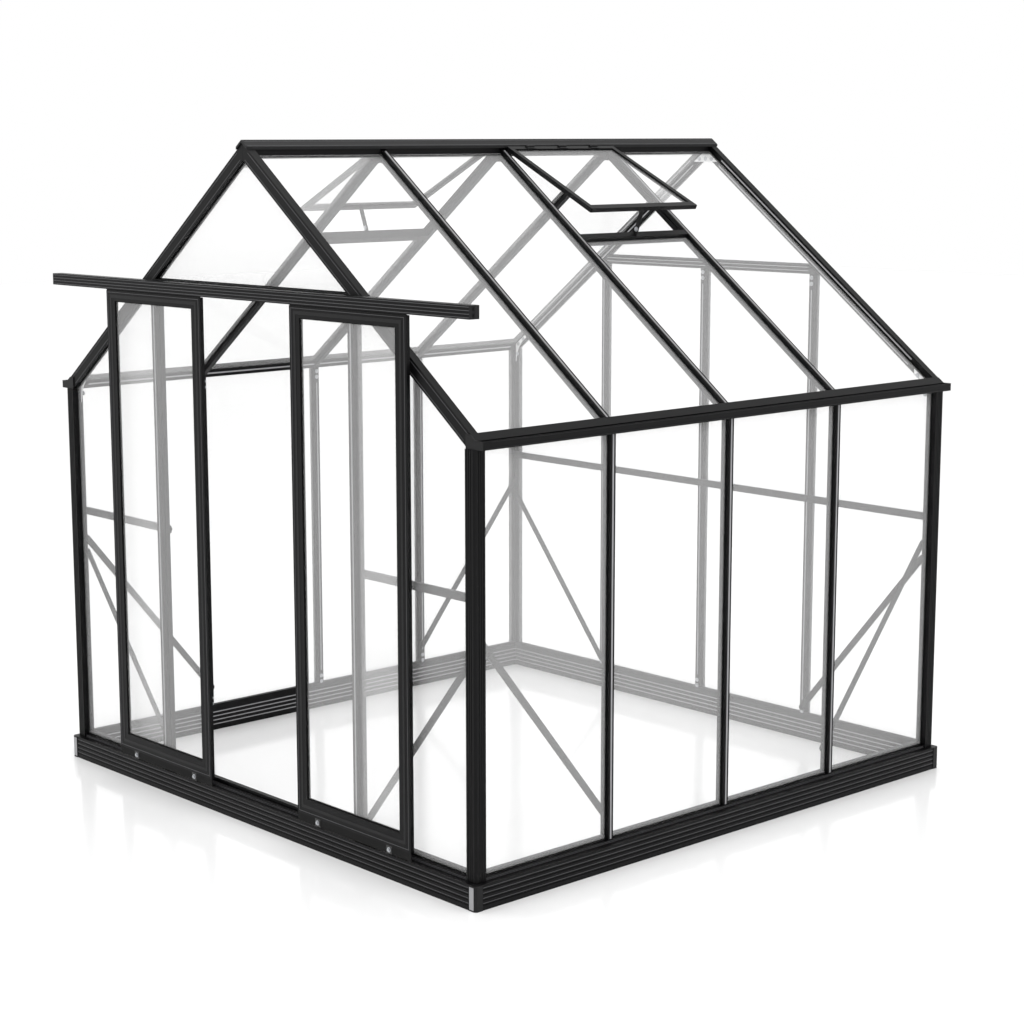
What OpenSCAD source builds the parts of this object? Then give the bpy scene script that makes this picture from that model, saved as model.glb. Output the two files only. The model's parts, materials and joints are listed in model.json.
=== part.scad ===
// Glass greenhouse: an aluminium frame on a low plinth, with two sliding doors in the
// front gable and a propped roof vent on each slope. Origin: bottom centre. The gables
// face -Y and +Y, the side walls face -X and +X.

/* [Footprint] */
// Width over the outer faces of the corner posts, across the gable
width = 2560; // [2000:10:3200]
// Length over the outer faces of the corner posts, along the ridge
length = 2560; // [2000:10:3800]
// Spacing of the upright bars and roof bars beside the middle one
bar_pitch = 620; // [450:5:740]

/* [Heights] */
// Height of the plinth
plinth_h = 92; // [60:1:200]
// Height of the sill rails' inner upstand above the plinth
sill_h = 25; // [18:1:50]
// Height of the sill rails' outer lip above the plinth
lip_h = 12; // [8:1:16]
// Height of the floor of the sill rails' glass groove above the plinth
sill_floor = 5; // [3:1:7]
// Height of the roof line over the outer faces of the corner posts
eave_h = 1620; // [1400:2:1950]
// Roof pitch in degrees
roof_pitch = 37.3; // [31:0.1:42]
// How far out along the rafters the ties' undersides meet them, past the jambs' centres
tie_over = 31; // [24:1:40]

/* [Plinth and sills] */
// Depth of the plinth profile, from outside to inside
plinth_d = 65; // [50:1:100]
// How far the plinth stands out from the corner posts
plinth_out = 17; // [10:1:40]
// Length of each plinth corner piece along both walls
plinth_corner = 34; // [30:1:60]
// How far a corner piece stands proud of the plinth
corner_proud = 2; // [1:0.5:4]
// Bevel on the outer edge of a corner piece
corner_bevel = 9; // [2:1:15]
// Number of grooves along the plinth
plinth_grooves = 4; // [2:1:6]
// Number of grooves along each outer face of a corner post
post_grooves = 3; // [1:1:4]

/* [Frame profiles] */
// Side of the square corner posts
post_w = 48; // [40:1:70]
// How far bars and rafters sit back from the corner posts
inset = 8; // [4:1:12]
// Face width of the glazing bars
bar_w = 24; // [18:1:40]
// Face width of the door jambs
jamb_w = 30; // [26:1:50]
// Height of the gable ties
tie_h = 36; // [24:1:44]
// Depth of the gable rafters across the slope
rafter_h = 50; // [44:1:60]
// Thickness of the gable rafters along the building
rafter_t = 32; // [30:1:40]
// Depth of the roof bars across the slope
roof_bar_h = 40; // [34:1:42]
// Width of the channel along the outer face of bars, for their cover strip
strip_w = 11; // [8:1:13]
// Depth of that channel
strip_d = 1.5; // [1:0.5:3]
// Width of the grooves along posts and plinth
groove_w = 3; // [2:0.5:5]
// Depth of those grooves
groove_d = 1.5; // [1:0.5:3]

/* [Ridge and eaves] */
// Half width of the ridge beam
ridge_beam_half = 20; // [12:1:26]
// Depth of the ridge beam
ridge_beam_h = 55; // [45:1:70]
// Half width of the ridge cap
ridge_cap_half = 34; // [28:1:60]
// Thickness of the ridge cap across the slope
ridge_cap_t = 8; // [4:1:14]
// How far in from the corner posts' outer faces the eave rails' lip over the glass ends
eave_lip = 28; // [26:1:34]
// How far the gutter stands out from the corner posts, at its floor
gutter_out = 36; // [32:1:70]
// Height of the gutter
gutter_h = 30; // [24:1:60]
// Wall of the gutter
gutter_wall = 3; // [2:0.5:6]
// Thickness of the plates that close the gutters' ends
end_plate_t = 4; // [3:0.5:6]
// How far those plates reach up the rafters, above the eaves
end_plate_rise = 19; // [14:1:26]

/* [Glass] */
// Thickness of the panes
glass_t = 4; // [3:0.5:6]
// How far the panes sit back from the outer faces of the bars
glass_back = 16; // [10:1:20]
// Depth of the glass grooves
grip = 8; // [6:0.5:8.5]
// Clearance between a pane's edge and the bottom of its groove
edge_gap = 0.5; // [0.4:0.1:1]
// Clearance between a pane or bar and what it seats on
seat_gap = 0.3; // [0.2:0.05:0.4]

/* [Doors] */
// Width of each door leaf
door_w = 655; // [560:1:740]
// Underside of the door leaves
door_z = 127; // [118:1:160]
// Gap between the door leaves and the track above them
door_top_gap = 5; // [5:0.5:12]
// Thickness of the door leaves
door_t = 16; // [12:1:20]
// Clearance between the door leaves and the corner posts
door_gap = 5; // [5:0.5:12]
// Face width of the door stiles
stile_w = 60; // [40:1:80]
// Height of the door's top rail
top_rail_h = 42; // [28:1:60]
// Height of the door's bottom rail
bottom_rail_h = 62; // [36:1:80]
// How far the left door stands open, from its meeting edge to the middle
left_open = 257; // [3:1:600]
// How far the right door stands open, from its meeting edge to the middle
right_open = 305; // [3:1:600]

/* [Door track] */
// How far the track reaches below the ties
track_drop = 14; // [8:1:24]
// Height of the door track
track_h = 46; // [40:1:60]
// Depth of the door track
track_d = 42; // [40:1:50]
// Wall of the door track
track_wall = 2.5; // [2:0.5:3]
// Number of grooves along the track's face
track_grooves = 3; // [1:1:4]
// Width of the slot under the track
track_slot = 15; // [14:1:18]
// How far the track runs past the corner posts
track_over = 16; // [0:1:30]
// Radius of the door rollers
roller_r = 11; // [8:1:13]
// Width of one roller
roller_w = 9.5; // [7:0.5:12]
// Thickness of the roller hanger plates
hanger_t = 4; // [3:1:5]
// Width of the hanger plates and of the bottom guides
hanger_w = 30; // [24:1:50]
// How far the hanger plates reach above the rollers' axles
hanger_over = 5.5; // [3:0.5:7]
// Distance of the hangers and guides from the leaves' edges
runner_in = 120; // [80:1:160]

/* [Braces and plates] */
// Width of the diagonal braces
brace_w = 26; // [20:1:40]
// Thickness of the diagonal braces and middle rails
brace_t = 6; // [4:1:10]
// Height of the braces' upper ends on the corner posts
brace_top = 894; // [700:2:950]
// Height of the braces' lower ends on the bars
brace_foot = 140; // [140:1:250]
// How far the side walls' braces are fixed above the gables' braces
brace_step = 60; // [50:1:80]
// How far the braces' and rails' ends stand in from the corner posts' outer faces
brace_end = 44; // [42:1:50]
// Thickness of the middle rails
rail_t = 12; // [6:1:16]
// Height of the middle rails' centre line
rail_z = 1070; // [1040:1:1200]
// Height of the middle rails' section
rail_h = 30; // [20:1:40]
// How far the front middle rails lap in past the jambs' centre lines
rail_lap = 7.5; // [4:0.5:12]
// Length of the eave gussets along the rafters, measured level
gusset_x = 70; // [50:1:110]
// Length of the eave gussets down the posts, below the eaves
gusset_z = 60; // [40:1:110]
// Distance of the gussets' upper edges below the roof line, across the slope
plate_in = 32; // [30:1:34]
// Depth of the apex plates below the meeting of the rafters' undersides
apex_plate_h = 29; // [20:1:40]
// Thickness of the gusset plates
plate_t = 3; // [2:0.5:5]

/* [Roof vents] */
// Length of a vent frame down the slope
vent_len = 540; // [400:2:700]
// How far a vent is propped open, in degrees
vent_open = 11; // [4:0.5:25]
// Gap between a vent frame and the sill bar below it, down the slope
vent_gap = 4; // [2:0.5:8]
// How far a vent frame laps the roof bar on each side
vent_lap = 4; // [3:0.5:8]
// Thickness of the vent frames
vent_t = 18; // [14:1:22]
// Face width of a vent's side and top rails
vent_rail = 22; // [16:1:36]
// Face width of a vent's bottom rail
vent_bottom_rail = 30; // [20:1:40]
// Face width of the sill bar under a vent
vent_sill_w = 28; // [20:1:40]
// Width of a vent stay
stay_w = 20; // [12:1:28]
// Thickness of a vent stay
stay_t = 5; // [3:0.5:8]

/* [Hidden] */
$fn = 48;

frame_colour = "#2b2b2d";
trim_colour = "#3a3a3c";
plate_colour = "#c9c9c9";
glass_colour = [0.80, 0.90, 0.92, 0.35];
nylon_colour = "#d8d8d4";

half_w = width / 2;
half_l = length / 2;
slope_sin = sin(roof_pitch);
slope_cos = cos(roof_pitch);
slope_tan = tan(roof_pitch);
ridge_line = eave_h + half_w * slope_tan;
eave_base = eave_h - gutter_h;
sill_top = plinth_h + sill_h;
lip_top = plinth_h + lip_h;
pane_foot = plinth_h + sill_floor + edge_gap;

face_x = half_w - inset;
face_y = half_l - inset;
inner_x = half_w - post_w;
inner_y = half_l - post_w;
// Depth of the upright bars, door jambs, sills and ties, which end flush with the posts inside
bar_d = post_w - inset;
glass_x = face_x - glass_back;
glass_y = face_y - glass_back;
rafter_in_y = face_y - rafter_t;
// Distances of the roof panes' faces below the roof line, across the slope
pane_top = inset + glass_back;
pane_base = pane_top + glass_t;
// How far a pane's edge reaches into its groove, and how far it stays off the groove's far side
bite = grip - edge_gap;
eave_lip_x = half_w - eave_lip;

door_mid_y = half_l + door_gap + door_t / 2;
track_mid_y = face_y + track_d / 2;
tie_z = line_z(bar_pitch + tie_over, rafter_h);
track_z = tie_z - track_drop;
door_h = track_z - door_top_gap - door_z;
track_half = half_w + track_over;
guide_drop = door_z - plinth_h - door_gap;

vent_hinge_s = slope_s(ridge_cap_half + seat_gap, -inset);
vent_sill_s = vent_hinge_s + vent_len * cos(vent_open) + vent_gap;
bay_half = (bar_pitch - bar_w) / 2;
vent_half = bay_half + vent_lap;
vent_inside = vent_half - vent_rail;
vent_pane_end = vent_len - vent_bottom_rail;
// How far a cut runs past the faces that it opens
over = 1;

// Height of the roof line over a point x from the middle
function roof_z(x) = ridge_line - abs(x) * slope_tan;
// Height over x of the line that lies n under the roof line, across the slope
function line_z(x, n) = roof_z(x) - n / slope_cos;
// Distance from the middle where the line n under the roof line stands at height z
function line_x(z, n) = (ridge_line - n / slope_cos - z) / slope_tan;
// Distance down the slope of the point x from the middle, n above the roof line
function slope_s(x, n) = (x - n * slope_sin) / slope_cos;
// Height of a vent's underside above the roof line, s down the slope
function vent_under(s) = (s - vent_hinge_s) * tan(vent_open) - inset + seat_gap;

// Copies to the other side wall
module both_sides() {
    children();
    mirror([1, 0, 0]) children();
}

// Copies to the other gable
module both_gables() {
    children();
    mirror([0, 1, 0]) children();
}

// The left or right side, seen from the front
module on_side(side) {
    if (side == "left") mirror([1, 0, 0]) children();
    else children();
}

// A box between two corners
module block(a, b) {
    translate(a) cube(b - a);
}

// An outline in the XZ plane, from y0 to y1
module gable_slab(points, y0, y1) {
    translate([0, y1, 0]) rotate([90, 0, 0]) linear_extrude(y1 - y0) polygon(points);
}

// The right-hand roof slope: X runs down the slope from the ridge line, Z stands off it
module on_slope() {
    translate([0, 0, ridge_line]) rotate([0, roof_pitch, 0]) children();
}

// A slab in the roof slope with upright ends at x0 and x1, from n0 to n1 under the roof line
module slope_slab(x0, x1, n0, n1, y0, y1) {
    gable_slab([[x0, line_z(x0, n0)], [x1, line_z(x1, n0)], [x1, line_z(x1, n1)],
        [x0, line_z(x0, n1)]], y0, y1);
}

/* Plinth, sills and posts */

// Section of the plinth, outer face at x = 0, with drip grooves
module plinth_section() {
    step = plinth_h / (plinth_grooves + 1);
    difference() {
        translate([-plinth_d, 0]) square([plinth_d, plinth_h]);
        for (k = [1 : plinth_grooves])
            translate([0, k * step])
                polygon([[over, -groove_w], [over, groove_w],
                    [-2 * groove_d, groove_w / 2], [-2 * groove_d, 0]]);
    }
}

// Plan of one plinth rail: mitred at both ends, and notched for the corner pieces
module rail_plan(half_a, half_b) {
    outer = half_a + plinth_out;
    end = half_b + plinth_out;
    notch = plinth_corner - corner_proud;
    back = outer - notch;
    inner = outer - plinth_d;
    cut = end - notch - seat_gap;
    deep = end - plinth_d - seat_gap;
    polygon([[outer, -cut], [outer, cut], [back, cut], [inner, deep], [inner, -deep], [back, -cut]]);
}

module plinth_rail(half_a, half_b) {
    intersection() {
        translate([half_a + plinth_out, half_b + plinth_out, 0]) rotate([90, 0, 0])
            linear_extrude(2 * (half_b + plinth_out)) plinth_section();
        linear_extrude(plinth_h) rail_plan(half_a, half_b);
    }
}

module plinth_rails() color(frame_colour) {
    both_sides() plinth_rail(half_w, half_l);
    both_gables() rotate([0, 0, -90]) plinth_rail(half_l, half_w);
}

module plinth_corners() color(trim_colour) both_sides() both_gables()
    translate([half_w + plinth_out + corner_proud, -half_l - plinth_out - corner_proud, 0])
        linear_extrude(plinth_h)
            polygon([[-plinth_corner, 0], [-corner_bevel, 0], [0, corner_bevel],
                [0, plinth_corner], [-plinth_corner, plinth_corner]]);

// Section of a sill, outer face at x = 0 and foot at y = 0, with its glass groove
module sill_section() {
    out = seat_gap - glass_back;
    back = -glass_back - glass_t - seat_gap;
    polygon([[0, 0], [0, lip_h], [out, lip_h], [out, sill_floor], [back, sill_floor],
        [back, sill_h], [-bar_d, sill_h], [-bar_d, 0]]);
}

// A sill along +Y, centred, between the faces of two posts
module sill(half) {
    translate([0, half - seat_gap, plinth_h]) rotate([90, 0, 0])
        linear_extrude(2 * (half - seat_gap)) sill_section();
}

module sill_rails() color(frame_colour) {
    both_sides() translate([face_x, 0, 0]) sill(inner_y);
    both_gables() translate([0, -face_y, 0]) rotate([0, 0, -90]) sill(inner_x);
}

// Section of a corner post, its outer corner at the origin towards +X and -Y
module post_section() {
    glass_mid = inset + glass_back + glass_t / 2;
    slot_w = glass_t + 2 * seat_gap;
    difference() {
        union() {
            translate([-post_w, 0]) square([post_w - corner_bevel, post_w]);
            translate([-post_w, corner_bevel]) square([post_w, post_w - corner_bevel]);
            translate([-corner_bevel, corner_bevel]) circle(r = corner_bevel);
        }
        for (k = [1 : post_grooves]) {
            place = corner_bevel + k * (post_w - corner_bevel) / (post_grooves + 1);
            translate([-place, 0]) square([groove_w, 2 * groove_d], center = true);
            translate([0, place]) square([2 * groove_d, groove_w], center = true);
        }
        translate([-glass_mid, post_w]) square([slot_w, 2 * grip], center = true);
        translate([-post_w, glass_mid]) square([2 * grip, slot_w], center = true);
    }
}

module corner_posts() color(frame_colour) both_sides() both_gables()
    translate([half_w, -half_l, plinth_h])
        linear_extrude(eave_base - plinth_h - seat_gap) post_section();

/* Upright bars, jambs and ties */

// The part of a bar in front of the glass, with the channel for its cover strip
module bar_cap_section(w) {
    difference() {
        translate([seat_gap - glass_back, -w / 2]) square([glass_back - seat_gap, w]);
        square([2 * strip_d, strip_w], center = true);
    }
}

// Section of a bar, outer face at x = 0, with a glass groove on each side. Its web runs
// seat_gap into the cap and the inner flange.
module bar_section(w) {
    mid = -glass_back - glass_t / 2;
    bar_cap_section(w);
    translate([-bar_d, -w / 2]) square([bar_d - glass_back - glass_t - seat_gap, w]);
    translate([mid, 0]) square([glass_t + 4 * seat_gap, w - 2 * grip], center = true);
}

// An upright from the sill to a height, its outer face at x = 0
module upright(w, top) {
    translate([0, 0, sill_top + seat_gap])
        linear_extrude(top - sill_top - 2 * seat_gap) bar_section(w);
    translate([0, 0, lip_top + seat_gap])
        linear_extrude(top - lip_top - 2 * seat_gap) bar_cap_section(w);
}

module side_bars() color(frame_colour) for (y = [-bar_pitch, 0, bar_pitch])
    translate([face_x, y, 0]) upright(bar_w, eave_base);

module left_wall_bars() on_side("left") side_bars();
module right_wall_bars() side_bars();

module rear_gable_bars() color(frame_colour) for (x = [-bar_pitch, 0, bar_pitch])
    translate([x, face_y, 0]) rotate([0, 0, 90]) upright(bar_w, tie_z);

module door_jambs() color(frame_colour) both_sides()
    translate([bar_pitch, -face_y, 0]) rotate([0, 0, -90]) upright(jamb_w, tie_z);

// A tie across the rear gable, fitted under both rafters, with a glass groove above and below
module tie() {
    low = line_x(tie_z, rafter_h + seat_gap);
    high = line_x(tie_z + tie_h, rafter_h + seat_gap);
    difference() {
        gable_slab([[-low, tie_z], [low, tie_z], [high, tie_z + tie_h], [-high, tie_z + tie_h]],
            face_y - bar_d, face_y);
        for (z = [tie_z, tie_z + tie_h])
            block([-half_w, glass_y - glass_t - seat_gap, z - grip],
                [half_w, glass_y + seat_gap, z + grip]);
    }
}

module rear_tie() color(frame_colour) tie();
module door_header() color(frame_colour) mirror([0, 1, 0]) tie();

/* Eaves, rafters and ridge */

// The roof plate with its two glass grooves, and the open gutter in front of it
module eave_rail() color(frame_colour) {
    lip_end = eave_lip_x + grip;
    gutter_x = half_w + seat_gap;
    gutter_end = half_w + gutter_out;
    difference() {
        gable_slab([[inner_x, eave_base], [gutter_x + gutter_wall / 2, eave_base],
            [gutter_x + gutter_wall / 2, eave_h - gutter_wall], [half_w, eave_h],
            [eave_lip_x, roof_z(eave_lip_x)], [eave_lip_x, line_z(eave_lip_x, pane_top - seat_gap)],
            [lip_end, line_z(lip_end, pane_top - seat_gap)],
            [lip_end, line_z(lip_end, pane_base + seat_gap)],
            [inner_x, line_z(inner_x, pane_base + seat_gap)]],
            seat_gap - rafter_in_y, rafter_in_y - seat_gap);
        block([glass_x - glass_t - seat_gap, -half_l, eave_base - grip],
            [glass_x + seat_gap, half_l, eave_base + grip]);
    }
    difference() {
        block([gutter_x, -face_y, eave_base], [gutter_end, face_y, eave_h]);
        block([gutter_x + gutter_wall, -half_l, eave_base + gutter_wall],
            [gutter_end - gutter_wall, half_l, eave_h + gutter_h]);
    }
}

module left_eave_rail() on_side("left") eave_rail();
module right_eave_rail() eave_rail();

// Plates on the gable rafters' feet that close the gutters' ends
module eave_corners() color(trim_colour) both_sides() both_gables()
    gable_slab([[inner_x, eave_base], [half_w + gutter_out, eave_base],
        [half_w + gutter_out, eave_h], [half_w, eave_h],
        [line_x(eave_h + end_plate_rise, 0), eave_h + end_plate_rise],
        [inner_x, eave_h + end_plate_rise]],
        face_y + seat_gap, face_y + seat_gap + end_plate_t);

// Both rafters of the rear gable, standing on the corner posts
module rafter_pair() color(frame_colour) both_sides() difference() {
    gable_slab([[seat_gap, roof_z(seat_gap)], [half_w, eave_h], [half_w, eave_base],
        [line_x(eave_base, rafter_h), eave_base], [seat_gap, line_z(seat_gap, rafter_h)]],
        rafter_in_y, face_y);
    slope_slab(0, half_w, pane_base + seat_gap, pane_top - seat_gap,
        rafter_in_y - grip, rafter_in_y + grip);
    slope_slab(0, half_w, rafter_h + grip, rafter_h - grip,
        glass_y - glass_t - seat_gap, glass_y + seat_gap);
}

module rear_rafters() rafter_pair();
module front_rafters() mirror([0, 1, 0]) rafter_pair();

// A roof bar on each bay line: cap over the glass, web between the panes, and inner flange
module roof_bars() color(frame_colour) for (y = [-bar_pitch, 0, bar_pitch]) {
    start = ridge_beam_half + seat_gap;
    cap_end = eave_lip_x - seat_gap;
    web = bar_w / 2 - grip;
    difference() {
        slope_slab(start, cap_end, pane_top - seat_gap, inset, y - bar_w / 2, y + bar_w / 2);
        slope_slab(start - over, cap_end + over, inset + strip_d, inset - strip_d,
            y - strip_w / 2, y + strip_w / 2);
    }
    for (part = [[cap_end, pane_base], [inner_x - seat_gap, pane_base + 2 * seat_gap]])
        slope_slab(start, part[0], part[1], pane_top - 2 * seat_gap, y - web, y + web);
    slope_slab(start, inner_x - seat_gap, inset + roof_bar_h, pane_base + seat_gap,
        y - bar_w / 2, y + bar_w / 2);
}

module left_roof_bars() on_side("left") roof_bars();
module right_roof_bars() roof_bars();

module ridge_beam() color(frame_colour) {
    half = rafter_in_y - plate_t - seat_gap;
    gable_slab([[-ridge_beam_half, ridge_line - ridge_beam_h],
        [ridge_beam_half, ridge_line - ridge_beam_h], [ridge_beam_half, roof_z(ridge_beam_half)],
        [0, ridge_line], [-ridge_beam_half, roof_z(ridge_beam_half)]], -half, half);
}

module ridge_cap() color(trim_colour) {
    rise = ridge_cap_t / slope_cos;
    low = roof_z(ridge_cap_half) + seat_gap;
    top = ridge_line + seat_gap;
    gable_slab([[-ridge_cap_half, low], [0, top], [ridge_cap_half, low],
        [ridge_cap_half, low + rise], [0, top + rise], [-ridge_cap_half, low + rise]],
        -face_y, face_y);
}

/* Fixed glass */

// Edges of a wall's four panes, from the groove of one corner post to that of the other
function bays(half) = let (web = bar_w / 2 - bite)
    [[-half, -bar_pitch - web], [web - bar_pitch, -web], [web, bar_pitch - web], [bar_pitch + web, half]];

module side_glass() color(glass_colour) for (edge = bays(inner_y + bite))
    block([glass_x - glass_t, edge[0], pane_foot], [glass_x, edge[1], eave_base + bite]);

module left_wall_glass() on_side("left") side_glass();
module right_wall_glass() side_glass();

// The pane between an upright of width w and the corner post, under the rafter and the tie
module outer_pane(w) {
    a = bar_pitch + w / 2 - bite;
    b = inner_x + bite;
    top = tie_z + bite;
    gable_slab([[a, pane_foot], [b, pane_foot], [b, line_z(b, rafter_h - bite)],
        [line_x(top, rafter_h - bite), top], [a, top]], glass_y - glass_t, glass_y);
}

// The three-cornered pane above a tie, under both rafters
module top_pane() {
    low = tie_z + tie_h - bite;
    half = line_x(low, rafter_h - bite);
    gable_slab([[-half, low], [half, low], [0, line_z(0, rafter_h - bite)]],
        glass_y - glass_t, glass_y);
}

module rear_gable_glass() color(glass_colour) {
    edges = bays(inner_x);
    both_sides() outer_pane(bar_w);
    for (k = [1, 2])
        block([edges[k][0], glass_y - glass_t, pane_foot], [edges[k][1], glass_y, tie_z + bite]);
    top_pane();
}

module front_gable_glass() color(glass_colour) mirror([0, 1, 0]) {
    both_sides() outer_pane(jamb_w);
    top_pane();
}

// Roof panes by bay, counted from the front. A vent takes the top of its bay.
module roof_glass(vent_bay) color(glass_colour) {
    edges = bays(rafter_in_y + bite);
    top = slope_s(ridge_beam_half + edge_gap, -pane_base);
    foot = slope_s(eave_lip_x + bite, -pane_top);
    for (bay = [0 : 3]) {
        start = bay == vent_bay ? vent_sill_s + vent_sill_w - bite : top;
        on_slope() block([start, edges[bay][0], -pane_base], [foot, edges[bay][1], -pane_top]);
    }
}

module left_roof_glass() on_side("left") roof_glass(1);
module right_roof_glass() roof_glass(2);

/* Roof vents */

// The vents' bays, in slope coordinates, centred in Y on the bay
module both_vents() {
    on_slope() translate([0, bar_pitch / 2, 0]) children();
    on_side("left") on_slope() translate([0, -bar_pitch / 2, 0]) children();
}

// A vent frame's own place: hinge line at the origin, underside at z = 0
module propped() {
    translate([vent_hinge_s, 0, seat_gap - inset]) rotate([0, -vent_open, 0]) children();
}

// Room for a vent's pane in its frame, reaching e past the frame's inner edges
module vent_pane(e, gap) {
    low = (vent_t - glass_t) / 2 - gap;
    block([vent_rail - e, -vent_inside - e, low],
        [vent_pane_end + e, vent_inside + e, vent_t - low]);
}

module vent_side_rails() color(frame_colour) both_vents() propped() difference() {
    both_gables() block([0, vent_inside, 0], [vent_len, vent_half, vent_t]);
    vent_pane(grip, seat_gap);
}

module vent_cross_rails() color(frame_colour) both_vents() propped() difference() {
    half = vent_inside - seat_gap;
    union() {
        block([0, -half, 0], [vent_rail, half, vent_t]);
        block([vent_pane_end, -half, 0], [vent_len, half, vent_t]);
    }
    vent_pane(grip, seat_gap);
}

module vent_glass() color(glass_colour) both_vents() propped() vent_pane(bite, 0);

// A bar across the bay below each vent, with a groove for the short pane below it
module vent_sills() color(frame_colour) both_vents() difference() {
    half = bay_half - seat_gap;
    end = vent_sill_s + vent_sill_w;
    block([vent_sill_s, -half, -inset - roof_bar_h], [end, half, -inset]);
    block([end - grip, -half_l, -pane_base - seat_gap], [end + grip, half_l, seat_gap - pane_top]);
}

// Upright props from the sill bars to the vents' bottom rails
module vent_stays() color(trim_colour) both_vents() {
    foot = vent_sill_s + vent_gap;
    high = foot - vent_bottom_rail;
    foot_n = seat_gap - inset;
    translate([0, stay_t / 2, 0]) rotate([90, 0, 0]) linear_extrude(stay_t)
        polygon([[foot, foot_n], [foot + stay_w, foot_n],
            [high + stay_w, vent_under(high + stay_w) - seat_gap], [high, vent_under(high) - seat_gap]]);
}

/* Inner plates, rails and braces */

// Curved plates between a post and a rafter, on the rafter's inner face
module eave_gussets() color(plate_colour) both_sides() both_gables() {
    a = inner_x - seat_gap;
    b = a - gusset_x;
    curve_x = b - gusset_x;
    translate([0, rafter_in_y - seat_gap, 0]) rotate([90, 0, 0]) linear_extrude(plate_t) difference() {
        polygon([[a, eave_base - gusset_z], [a, line_z(a, plate_in)], [b, line_z(b, plate_in)],
            [b, line_z(b, rafter_h)]]);
        translate([curve_x, eave_base - gusset_z]) circle(r = a - curve_x);
    }
}

module apex_plates() color(plate_colour) both_gables() {
    low = line_z(0, rafter_h) - apex_plate_h;
    half = line_x(low, plate_in);
    gable_slab([[-half, low], [half, low], [0, line_z(0, plate_in)]],
        rafter_in_y - plate_t - seat_gap / 2, rafter_in_y - seat_gap / 2);
}

// Level rails on the inner faces of posts and bars
module mid_rails() color(frame_colour) {
    front = inner_y - seat_gap;
    end = half_w - brace_end;
    block([-end, front - rail_t, rail_z - rail_h / 2], [end, front, rail_z + rail_h / 2]);
    both_sides() block([bar_pitch - rail_lap, -front, rail_z - rail_h / 2],
        [end, rail_t - front, rail_z + rail_h / 2]);
}

// A flat brace with round ends between two fixing points in the XY plane
module brace(from, to) {
    run = to - from;
    linear_extrude(brace_t) {
        translate(from) circle(d = brace_w);
        translate(to) circle(d = brace_w);
        translate(from) rotate(atan2(run[1], run[0]))
            translate([0, -brace_w / 2]) square([norm(run), brace_w]);
    }
}

module gable_braces() color(frame_colour) both_sides() both_gables()
    translate([0, inner_y - seat_gap, 0]) rotate([90, 0, 0])
        brace([bar_pitch, brace_foot], [half_w - brace_end, brace_top]);

module side_braces() color(frame_colour) both_sides() both_gables()
    translate([inner_x - seat_gap - brace_t, 0, 0]) rotate([90, 0, 90])
        brace([bar_pitch, brace_foot + brace_step], [half_l - brace_end, brace_top + brace_step]);

/* Door track */

// Section of the track, rear face at x = 0, opening downwards, with grooves in its face
module track_section() {
    difference() {
        square([track_d, track_h]);
        translate([track_wall, track_wall])
            square([track_d - 2 * track_wall, track_h - 2 * track_wall]);
        translate([(track_d - track_slot) / 2, -over]) square([track_slot, track_wall + 2 * over]);
        for (k = [1 : track_grooves])
            translate([track_d, k * track_h / (track_grooves + 1)])
                square([track_wall, groove_w], center = true);
    }
}

module door_track() color(frame_colour) mirror([0, 1, 0])
    translate([-track_half, face_y + seat_gap, track_z]) rotate([90, 0, 90])
        linear_extrude(2 * track_half) track_section();

module track_ends() color(trim_colour) both_sides() mirror([0, 1, 0])
    block([track_half + seat_gap, face_y + seat_gap, track_z],
        [track_half + seat_gap + track_wall, face_y + seat_gap + track_d, track_z + track_h]);

/* Sliding doors, drawn with the meeting edge at x = 0 and the leaf towards +X */

// Places a leaf at its open distance on the left or right
module leaf_place(side, open) {
    on_side(side) translate([open, -door_mid_y, door_z]) children();
}

// A member of the leaf, with the glass groove cut in it
module leaf_member(points) {
    difference() {
        gable_slab(points, -door_t / 2, door_t / 2);
        leaf_pane(grip, seat_gap);
    }
}

// The leaf's pane, reaching e past the inner edges of the frame, with a gap on each face
module leaf_pane(e, gap) {
    half = glass_t / 2 + gap;
    block([stile_w - e, -half, bottom_rail_h - e],
        [door_w - stile_w + e, half, door_h - top_rail_h + e]);
}

module leaf_stiles() color(frame_colour) {
    outline = [[0, 0], [stile_w, bottom_rail_h], [stile_w, door_h - top_rail_h], [0, door_h]];
    leaf_member(outline);
    translate([door_w, 0, 0]) mirror([1, 0, 0]) leaf_member(outline);
}

module leaf_rails() color(frame_colour) {
    a = stile_w + seat_gap;
    leaf_member([[seat_gap, 0], [door_w - seat_gap, 0], [door_w - a, bottom_rail_h], [a, bottom_rail_h]]);
    leaf_member([[seat_gap, door_h], [a, door_h - top_rail_h], [door_w - a, door_h - top_rail_h],
        [door_w - seat_gap, door_h]]);
}

module leaf_glass() color(glass_colour) leaf_pane(bite, 0);

// A hanger plate on the top rail with a roller on each side of it
module hanger() {
    axle_z = track_z + track_wall + seat_gap + roller_r - door_z;
    translate([0, door_mid_y - track_mid_y - seat_gap, 0]) {
        block([-hanger_w / 2, -hanger_t / 2, door_h], [hanger_w / 2, hanger_t / 2, axle_z + hanger_over]);
        translate([0, hanger_t / 2 + roller_w, axle_z]) rotate([90, 0, 0])
            cylinder(r = roller_r, h = hanger_t + 2 * roller_w);
    }
}

// A guide under the bottom rail that runs in front of the sill
module guide() {
    block([-hanger_w / 2, -door_t / 2, -guide_drop], [hanger_w / 2, door_t / 2, 0]);
}

module leaf_runners() color(nylon_colour) for (x = [runner_in, door_w - runner_in])
    translate([x, 0, 0]) {
        hanger();
        guide();
    }

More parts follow.
